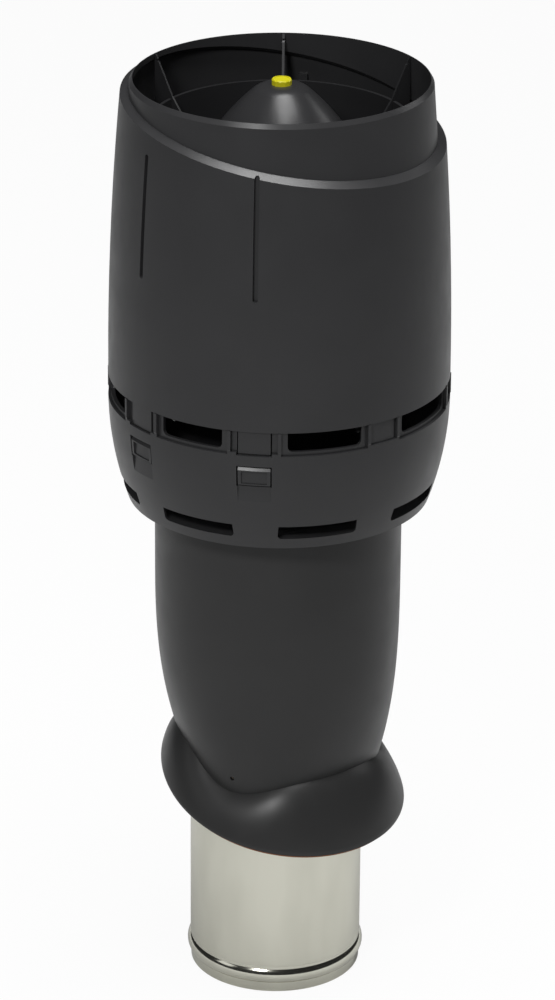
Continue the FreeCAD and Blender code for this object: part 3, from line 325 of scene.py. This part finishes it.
@dataclass(frozen=True)
class MouldedAcetal:
    """Acetal, coloured in the mass and moulded in a polished tool.

    To the eye it is a plain satin skin, with the faint hollows of sink marks.
    """

    name: str
    colour: str
    roughness: float = 0.38
    ior: float = 1.48
    sink_mm: float = 3.0
    sink_depth_mm: float = 0.03
    sink_strength: float = 0.3

    def material(self) -> bpy.types.Material:
        """Make the material.

        Returns:
            The plastic with its sink marks.
        """
        tree = Tree(bpy.data.materials.new(self.name))
        bump = tree.add(
            "ShaderNodeBump",
            Height=tree.mottle(self.sink_mm),
            Strength=self.sink_strength,
            Distance=self.sink_depth_mm * MILLIMETRE,
        )
        shader = tree.add(
            "ShaderNodeBsdfPrincipled",
            Base_Color=linear(self.colour),
            Roughness=self.roughness,
            Normal=bump.outputs[0],
            IOR=self.ior,
        )
        tree.add("ShaderNodeOutputMaterial", Surface=shader.outputs[0])
        return tree.owner


@dataclass(frozen=True)
class CutRubber:
    """Rubber, cellular or solid, cut from a sheet.

    To the eye it is quite dull, with darker pits where the cut opens its cells or grain.
    """

    name: str
    colour: str
    dark_colour: str
    roughness: float = 0.85
    ior: float = 1.52
    cell_mm: float = 0.7
    cell_depth_mm: float = 0.15
    cell_strength: float = 0.6
    cell_detail: float = 4.0

    def material(self) -> bpy.types.Material:
        """Make the material.

        Returns:
            The rubber with its cells in colour and relief.
        """
        tree = Tree(bpy.data.materials.new(self.name))
        cells = tree.mottle(self.cell_mm, detail=self.cell_detail)
        bump = tree.add(
            "ShaderNodeBump",
            Height=cells,
            Strength=self.cell_strength,
            Distance=self.cell_depth_mm * MILLIMETRE,
        )
        shader = tree.add(
            "ShaderNodeBsdfPrincipled",
            Base_Color=tree.two_tone(cells, self.dark_colour, self.colour),
            Roughness=self.roughness,
            Normal=bump.outputs[0],
            IOR=self.ior,
        )
        tree.add("ShaderNodeOutputMaterial", Surface=shader.outputs[0])
        return tree.owner


@dataclass(frozen=True)
class MineralFibre:
    """Mineral fibre, pressed to a mat and rolled round the duct.

    To the eye it is chalky, with short pale fibres that lie level. They are drawn many times
    thicker than real ones, so that they show in the render.
    """

    name: str = "pressed_mineral_fibre"
    colour: str = "#D8D4C4"
    dark_colour: str = "#B4AE98"
    roughness: float = 0.95
    fibre_mm: float = 0.8
    fibre_stretch: tuple[float, float, float] = (1.0, 1.0, 6.0)
    fibre_depth_mm: float = 0.4
    fibre_strength: float = 0.8
    fibre_detail: float = 4.0

    def material(self) -> bpy.types.Material:
        """Make the material.

        Returns:
            The mat with its fibres in colour and relief.
        """
        tree = Tree(bpy.data.materials.new(self.name))
        fibres = tree.mottle(self.fibre_mm, self.fibre_stretch, self.fibre_detail)
        bump = tree.add(
            "ShaderNodeBump",
            Height=fibres,
            Strength=self.fibre_strength,
            Distance=self.fibre_depth_mm * MILLIMETRE,
        )
        shader = tree.add(
            "ShaderNodeBsdfPrincipled",
            Base_Color=tree.two_tone(fibres, self.dark_colour, self.colour),
            Roughness=self.roughness,
            Normal=bump.outputs[0],
        )
        tree.add("ShaderNodeOutputMaterial", Surface=shader.outputs[0])
        return tree.owner


@dataclass(frozen=True)
class ZincPlatedSteel:
    """Zinc-plated steel, cold headed.

    To the eye it is bright, under a thin passivated skin of uneven tone.
    """

    name: str = "zinc_plated_steel"
    colour: str = "#B9BABA"
    dull_colour: str = "#A3A49F"
    roughness: float = 0.3
    skin_mm: float = 1.5
    skin_depth_mm: float = 0.01
    skin_strength: float = 0.2

    def material(self) -> bpy.types.Material:
        """Make the material.

        Returns:
            The steel with its skin in colour and relief.
        """
        tree = Tree(bpy.data.materials.new(self.name))
        skin = tree.mottle(self.skin_mm)
        bump = tree.add(
            "ShaderNodeBump",
            Height=skin,
            Strength=self.skin_strength,
            Distance=self.skin_depth_mm * MILLIMETRE,
        )
        shader = tree.add(
            "ShaderNodeBsdfPrincipled",
            Base_Color=tree.two_tone(skin, self.dull_colour, self.colour),
            Roughness=self.roughness,
            Metallic=1.0,
            Normal=bump.outputs[0],
        )
        tree.add("ShaderNodeOutputMaterial", Surface=shader.outputs[0])
        return tree.owner


class Finish(Enum):
    """The finishes of the part."""

    DARK_PLASTIC = MouldedPolypropylene(
        "grained_polypropylene_dark", "#272728", "#29292A", specular=0.32
    )
    PIPE_PLASTIC = MouldedPolypropylene("grained_polypropylene_pipe", "#292929", "#2B2B2B", 0.36)
    # A darker copy of the same polypropylene for the rings and sleeve inside the pipe and the hood:
    # painted shade, standing in for the shade that falls inside them.
    INNER_PLASTIC = MouldedPolypropylene("grained_polypropylene_inner_painted_shade", "#1B1B1C", "#1D1D1E", 0.34)
    # The bell's half of the tool is polished, so its grain is shallow and its highlight sharper.
    BELL_PLASTIC = MouldedPolypropylene(
        "polished_polypropylene_bell", "#222223", "#242425", 0.3, grain_mm=1.4, grain_depth_mm=0.02
    )
    GALVANISED = GalvanisedSheet()
    YELLOW = MouldedAcetal("moulded_acetal_yellow", "#A6A00E")
    SEAL_STRIP = CutRubber("cellular_rubber_brown", "#A8622E", "#7A4420")
    SEAL_RUBBER = CutRubber("solid_rubber_black", "#1C1C1C", "#141414")
    FIBRE = MineralFibre()
    SCREW = ZincPlatedSteel()


@dataclass
class Assembly:
    """A sub-assembly, whose CAD nodes keep their shape and get their finish here.

    Edge rounds are in millimetres and angles in degrees.
    """

    finishes: dict[str, Finish] = field(default_factory=dict)
    edge_rounds: dict[str, float] = field(default_factory=dict)
    edge_steps: int = 2
    smooth_angle: float = 28.0
    edge_angle: float = 50.0

    def build(
        self, nodes: dict[str, bpy.types.Object], made: dict[Finish, bpy.types.Material]
    ) -> None:
        """Dress the nodes.

        Args:
            nodes: the CAD nodes by name.
            made: the finishes' materials.
        """
        for node, finish in self.finishes.items():
            self.dress(nodes[node], made[finish])

    def dress(self, piece: bpy.types.Object, material: bpy.types.Material) -> None:
        """Give a piece its material, smooth its round faces, round its edges and report it.

        Args:
            piece: the object.
            material: its new material.
        """
        piece.data.materials.clear()
        piece.data.materials.append(material)
        piece.data.shade_smooth()
        piece.data.set_sharp_from_angle(angle=math.radians(self.smooth_angle))
        if piece.name in self.edge_rounds:
            edges = piece.modifiers.new("edge_round", "BEVEL")
            edges.width = self.edge_rounds[piece.name] * MILLIMETRE
            edges.segments = self.edge_steps
            edges.angle_limit = math.radians(self.edge_angle)
            edges.harden_normals = True
        log.info("%s: %s in %s", type(self).__name__, piece.name, material.name)


@dataclass
class Duct(Assembly):
    """The steel duct and the screws that hold it in the pipe's head ring."""

    finishes: dict[str, Finish] = field(
        default_factory=lambda: {"steel_duct": Finish.GALVANISED, "duct_screws": Finish.SCREW}
    )


@dataclass
class RoofPipe(Assembly):
    """The outer pipe with its skirt, the skirt's seal, and the rings and insulation inside.

    The pipe is one moulding: round at its top, narrower above the roof, then flared to a skirt.
    Lengths are in millimetres, turns in radians and azimuths in degrees, both from the low side
    of the roof.
    """

    finishes: dict[str, Finish] = field(
        default_factory=lambda: {
            # The rings inside the pipe take the darker copy of the plastic, which is painted shade.
            "neck_ring": Finish.INNER_PLASTIC,
            "insulation_sleeve": Finish.FIBRE,
            "pipe_head_ring": Finish.INNER_PLASTIC,
        }
    )
    smooth_angle: float = 50.0
    radius: float = 112.5
    wall: float = 3.0
    top: float = 600.0
    taper_top: float = 400.0
    neck_radius: float = 92.25
    neck_squareness: float = 2.2
    neck_heights: tuple[float, ...] = (224.5, 221.5, 211.6, 232.1, 246.8, 238.0, 236.0)
    taper_power: float = 2.717
    taper_change: float = -0.369
    rim_radius: float = 113.5
    rim_shift: float = 10.2
    rim_height: float = 187.3
    rim_slope: float = 0.304
    rim_bow: float = 5.3
    rim_bow_reach: float = 100.0
    rim_lift: float = 1.0
    lip: float = 0.8
    lip_share: float = 0.3
    bulge: float = 0.4
    bulge_change: float = 0.1
    hole_radius: float = 2.1
    hole_azimuth: float = 61.0
    hole_height: float = 227.0
    hole_sides: int = 32
    drill_length: float = 24.0
    seal_start: float = 0.84
    seal_thickness: float = 3.0
    seal_drop: float = 2.2
    seal_gap: float = 0.05
    columns: int = 240
    body_steps: int = 32
    skirt_steps: int = 20
    seal_steps: int = 4

    def neck_outside(self, turn: float) -> float:
        """Radius of the neck, whose section lies between a circle and a square.

        Args:
            turn: radians from the low side.

        Returns:
            The outside radius.
        """
        power = self.neck_squareness
        flat = abs(math.cos(turn)) ** power + abs(math.sin(turn)) ** power
        return self.neck_radius * flat ** (-1 / power)

    def neck_line(self, turn: float) -> float:
        """Height of the crease between neck and skirt.

        Args:
            turn: radians from the low side.

        Returns:
            A height on the smooth wave through the given ones, low side to high side.
        """
        last = len(self.neck_heights) - 1
        level = 0.0
        for order in range(last + 1):
            total = 0.0
            for place, height in enumerate(self.neck_heights):
                share = 0.5 if place in (0, last) else 1.0
                total += share * height * math.cos(math.pi * order * place / last)
            share = 0.5 if order in (0, last) else 1.0
            level += share * 2 / last * total * math.cos(order * turn)
        return level

    def rim(self, turn: float) -> tuple[float, float]:
        """A point on the skirt's rim, a circle set off to the low side and bowed over the roof.

        Args:
            turn: radians from the low side.

        Returns:
            Radius and height.
        """
        across = self.rim_shift * math.sin(turn)
        reach = self.rim_shift * math.cos(turn) + math.sqrt(self.rim_radius**2 - across**2)
        along = reach * math.cos(turn) - self.rim_shift
        bow = self.rim_bow * (along / self.rim_bow_reach) ** 2
        return reach, self.rim_height - self.rim_slope * along + bow + self.rim_lift

    def skirt_point(self, turn: float, share: float) -> tuple[float, float]:
        """A point on the skirt, at a share of the way from the crease to the rim.

        Args:
            turn: radians from the low side.
            share: 0 at the crease and 1 at the rim.

        Returns:
            Radius and height, between a straight line and a quarter round.
        """
        neck, crease = self.neck_outside(turn), self.neck_line(turn)
        reach, low = self.rim(turn)
        arc = share * math.pi / 2
        bulge = self.bulge + self.bulge_change * math.cos(turn)
        out = bulge * math.sin(arc) + (1 - bulge) * share
        down = bulge * (1 - math.cos(arc)) + (1 - bulge) * share
        return neck + (reach - neck) * out, crease - (crease - low - self.lip) * down

    def pipe_section(self, turn: float) -> list[tuple[float, float]]:
        """The moulding's section, once round.

        Args:
            turn: radians from the low side.

        Returns:
            Radius and height of each point, down the outside, round the rim's lip and up the
            inside.
        """
        neck, crease = self.neck_outside(turn), self.neck_line(turn)
        power = self.taper_power - self.taper_change * math.cos(turn)
        outside = [(self.radius, self.top), (self.radius, (self.top + self.taper_top) / 2)]
        for step in range(self.body_steps + 1):
            share = step / self.body_steps
            level = self.taper_top - (self.taper_top - crease) * share
            outside.append((self.radius - (self.radius - neck) * share**power, level))
        shares = [step / self.skirt_steps for step in range(1, self.skirt_steps + 1)]
        outside += [self.skirt_point(turn, share) for share in shares]
        inside = [(radius - self.wall, level) for radius, level in outside]
        reach, low = self.rim(turn)
        bevel = self.lip * self.lip_share
        lip = [
            (reach - bevel, low + bevel),
            (reach - self.lip, low),
            (reach - self.wall + self.lip, low),
            (reach - self.wall + bevel, low + bevel),
        ]
        return outside + lip + inside[::-1]

    def seal_section(self, turn: float) -> list[tuple[float, float]]:
        """The seal strip's section: it lines the skirt and shows a little below the rim.

        Args:
            turn: radians from the low side.

        Returns:
            Radius and height of each point, once round.
        """
        way = 1 - self.seal_start
        shares = [step / self.seal_steps for step in range(self.seal_steps + 1)]
        line = [self.skirt_point(turn, self.seal_start + way * share) for share in shares]
        line.append((line[-1][0], self.rim(turn)[1] - self.seal_drop))
        outside = [(radius - self.wall - self.seal_gap, level) for radius, level in line]
        inside = [(radius - self.seal_thickness, level) for radius, level in outside]
        return outside + inside[::-1]

    def swept(
        self, name: str, section: Callable[[float], list[tuple[float, float]]]
    ) -> bpy.types.Object:
        """A closed ring through one section after another.

        Args:
            name: the object's name.
            section: gives the radii and heights at a turn.

        Returns:
            The object, in the scene.
        """
        shape = bmesh.new()
        columns = []
        for index in range(self.columns):
            turn = 2 * math.pi * index / self.columns
            out = direction(math.degrees(turn))
            points = [
                (out * radius + Vector((0, 0, level))) * MILLIMETRE
                for radius, level in section(turn)
            ]
            columns.append([shape.verts.new(point) for point in points])
        for first, second in zip(columns, columns[1:] + columns[:1]):
            for place in range(len(first)):
                shape.faces.new((first[place - 1], first[place], second[place], second[place - 1]))
        bmesh.ops.recalc_face_normals(shape, faces=shape.faces)
        return self.settled(name, shape)

    def drills(self) -> bpy.types.Object:
        """The rods that cut the two fixing holes.

        Returns:
            One object, in the scene, for as long as the cut needs it.
        """
        shape = bmesh.new()
        for azimuth in (-self.hole_azimuth, self.hole_azimuth):
            out = direction(azimuth)
            spot = (out * self.neck_radius + Vector((0, 0, self.hole_height))) * MILLIMETRE
            turn = out.to_track_quat("Z", "Y").to_matrix().to_4x4()
            bmesh.ops.create_cone(
                shape,
                cap_ends=True,
                segments=self.hole_sides,
                radius1=self.hole_radius * MILLIMETRE,
                radius2=self.hole_radius * MILLIMETRE,
                depth=self.drill_length * MILLIMETRE,
                matrix=Matrix.Translation(spot) @ turn,
            )
        return self.settled("fixing_hole_drills", shape)

    def moulding(self) -> bpy.types.Object:
        """The pipe with its two fixing holes cut.

        Returns:
            The object, in the scene, with the cut already in its mesh.
        """
        piece = self.swept("outer_pipe_moulding", self.pipe_section)
        cutter = self.drills()
        cut = piece.modifiers.new("fixing_holes", "BOOLEAN")
        cut.operation, cut.object, cut.solver = "DIFFERENCE", cutter, "EXACT"
        solved = piece.evaluated_get(bpy.context.evaluated_depsgraph_get())
        drilled = bpy.data.meshes.new_from_object(solved)
        piece.modifiers.clear()
        piece.data = drilled
        bpy.data.objects.remove(cutter)
        return piece

    def settled(self, name: str, shape: bmesh.types.BMesh) -> bpy.types.Object:
        """Turn a finished bmesh into an object.

        Args:
            name: the object's name.
            shape: the bmesh, which this frees.

        Returns:
            The object, in the scene.
        """
        mesh = bpy.data.meshes.new(name)
        shape.to_mesh(mesh)
        shape.free()
        return placed(name, mesh)

    def build(
        self, nodes: dict[str, bpy.types.Object], made: dict[Finish, bpy.types.Material]
    ) -> None:
        """Dress the nodes that stay, and put the moulding and its seal in place of theirs.

        Args:
            nodes: the CAD nodes by name.
            made: the finishes' materials.
        """
        super().build(nodes, made)
        for piece, finish, node in (
            (self.swept("skirt_seal_strip", self.seal_section), Finish.SEAL_STRIP, "skirt_seal"),
            (self.moulding(), Finish.PIPE_PLASTIC, "outer_pipe"),
        ):
            self.dress(piece, made[finish])
            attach(piece, body_of(nodes[node])[0])
            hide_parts(node)


@dataclass
class Hood(Assembly):
    """The hood: bowl, jacket and guide sleeve, with their rubber ring and screws."""

    finishes: dict[str, Finish] = field(
        default_factory=lambda: {
            "hood_jacket": Finish.DARK_PLASTIC,
            "hood_bowl": Finish.DARK_PLASTIC,
            # The sleeve inside the hood takes the darker copy of the plastic, which is painted
            # shade.
            "inner_sleeve": Finish.INNER_PLASTIC,
            "hood_seal": Finish.SEAL_RUBBER,
            "hood_screws": Finish.SCREW,
        }
    )
    edge_rounds: dict[str, float] = field(
        default_factory=lambda: {"inner_sleeve": 0.5, "hood_jacket": 0.4, "hood_bowl": 0.3}
    )


@dataclass
class RainBell(Assembly):
    """The bell that keeps the rain out, with its cap and the bolt that holds it."""

    finishes: dict[str, Finish] = field(
        default_factory=lambda: {
            "rain_cone": Finish.BELL_PLASTIC,
            "cone_cap": Finish.YELLOW,
            "cone_bolt": Finish.SCREW,
            "cone_nut": Finish.SCREW,
            "cone_washers": Finish.SCREW,
        }
    )


@dataclass(frozen=True)
class Softbox:
    """A square lamp that looks at the part's middle.

    Azimuth, counted from the camera's, and elevation are in degrees, reach and side in metres.
    """

    name: str
    azimuth: float
    elevation: float
    reach: float
    side: float
    watts: float

    def build(self, camera_azimuth: float, middle: Vector) -> None:
        """Hang the lamp.

        Args:
            camera_azimuth: where the camera stands.
            middle: the point that the lamp looks at.
        """
        data = bpy.data.lights.new(self.name, "AREA")
        data.shape = "SQUARE"
        data.size = self.side
        data.energy = self.watts
        out = outwards(camera_azimuth + self.azimuth, self.elevation)
        turn = out.to_track_quat("Z", "Y").to_matrix().to_4x4()
        placed(self.name, data).matrix_world = Matrix.Translation(middle + out * self.reach) @ turn


@dataclass
class Studio:
    """Pale floor, soft lamps and the camera of the photograph.

    The camera was fitted to the round edges of the part in the photograph: its focal length,
    frame and axis are in pixels, its distance and aim in metres and its angles in degrees.
    """

    frame_height: float = 1000.0
    focal: float = 4422.07
    axis_row: float = 490.03
    distance: float = 4.02269
    elevation: float = 23.04
    camera_azimuth: float = -36.9
    roll: float = 0.454
    aim: tuple[float, float, float] = (-0.00067, 0.00050, 0.47554)
    sensor_mm: float = 36.0
    view_end: float = 100.0
    lamp_aim: tuple[float, float, float] = (0.0, 0.0, 0.45)
    lamps: tuple[Softbox, ...] = (
        Softbox("top_lamp", azimuth=40, elevation=82, reach=3.0, side=1.5, watts=118.0),
        Softbox("front_lamp", azimuth=-22, elevation=40, reach=3.4, side=0.6, watts=60.0),
        Softbox("left_lamp", azimuth=-70, elevation=25, reach=3.2, side=1.2, watts=4.0),
        Softbox("right_lamp", azimuth=118, elevation=30, reach=3.0, side=1.0, watts=7.0),
    )
    floor_colour: str = "#C8C8C8"
    floor_glow: float = 0.95
    floor_gloss: float = 0.08
    floor_reach: float = 12.0
    floor_drop_mm: float = 0.5
    sky_colour: str = "#F2F4F6"
    sky: float = 0.2
    sky_gloss: float = 0.03

    def camera(self) -> None:
        """Stand the camera where the photograph was taken from."""
        data = bpy.data.cameras.new("camera")
        data.sensor_fit = "VERTICAL"
        data.sensor_width = data.sensor_height = self.sensor_mm
        data.lens = self.sensor_mm * self.focal / self.frame_height
        data.shift_y = (self.axis_row - self.frame_height / 2) / self.frame_height
        data.clip_end = self.view_end
        back = outwards(self.camera_azimuth, self.elevation)
        roll = Matrix.Rotation(math.radians(self.roll), 3, "Z")
        turn = (-back).to_track_quat("-Z", "Y").to_matrix() @ roll
        spot = Matrix.Translation(Vector(self.aim) + back * self.distance)
        camera = placed("camera", data)
        camera.matrix_world = spot @ turn.to_4x4()
        bpy.context.scene.camera = camera

    def floor(self) -> None:
        """Lay a wide pale floor that shows as nearly white and keeps the part's shadow."""
        tree = Tree(bpy.data.materials.new("studio_paper"))
        seen = tree.add("ShaderNodeLightPath")
        direct = tree.add(
            "ShaderNodeMath",
            {"operation": "MULTIPLY"},
            input0=seen.outputs["Is Camera Ray"],
            input1=self.floor_glow,
        )
        share = tree.add(
            "ShaderNodeMath",
            {"operation": "MULTIPLY_ADD", "use_clamp": True},
            input0=seen.outputs["Is Glossy Ray"],
            input1=self.floor_gloss,
            input2=direct.outputs[0],
        )
        paper = tree.add("ShaderNodeBsdfDiffuse", Color=linear(self.floor_colour), Roughness=0.0)
        white = tree.add("ShaderNodeEmission", Color=WHITE, Strength=1.0)
        mixed = tree.add(
            "ShaderNodeMixShader",
            input0=share.outputs[0],
            input1=paper.outputs[0],
            input2=white.outputs[0],
        )
        tree.add("ShaderNodeOutputMaterial", Surface=mixed.outputs[0])
        mesh = bpy.data.meshes.new("floor")
        far = self.floor_reach
        mesh.from_pydata(
            [(-far, -far, 0), (far, -far, 0), (far, far, 0), (-far, far, 0)], [], [(0, 1, 2, 3)]
        )
        mesh.materials.append(tree.owner)
        floor = placed("floor", mesh)
        floor.location.z = -self.floor_drop_mm * MILLIMETRE

    def world(self) -> None:
        """Give even pale light from all round, weaker in reflections, and a white background."""
        tree = Tree(bpy.data.worlds.new("studio"))
        seen = tree.add("ShaderNodeLightPath")
        strength = tree.add(
            "ShaderNodeMath",
            {"operation": "MULTIPLY_ADD"},
            input0=seen.outputs["Is Glossy Ray"],
            input1=self.sky_gloss - self.sky,
            input2=self.sky,
        )
        soft = tree.add(
            "ShaderNodeBackground", Color=linear(self.sky_colour), Strength=strength.outputs[0]
        )
        white = tree.add("ShaderNodeBackground", Color=WHITE, Strength=1.0)
        mixed = tree.add(
            "ShaderNodeMixShader",
            input0=seen.outputs["Is Camera Ray"],
            input1=soft.outputs[0],
            input2=white.outputs[0],
        )
        tree.add("ShaderNodeOutputWorld", Surface=mixed.outputs[0])
        bpy.context.scene.world = tree.owner

    def build(self) -> None:
        """Set up camera, lamps, floor and world."""
        self.camera()
        for lamp in self.lamps:
            lamp.build(self.camera_azimuth, Vector(self.lamp_aim))
        self.floor()
        self.world()
        bpy.context.scene.view_settings.view_transform = "Standard"


def main() -> None:
    """Build the looks and report each piece."""
    logging.basicConfig(level=logging.INFO, format="%(message)s")
    for item in list(bpy.data.objects):
        bpy.data.objects.remove(item)
    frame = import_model()
    made = {finish: finish.value.material() for finish in Finish}
    for assembly in (Duct(), RoofPipe(), Hood(), RainBell()):
        assembly.build(frame["nodes"], made)
    Studio().build()


if __name__ == "__main__":
    main()
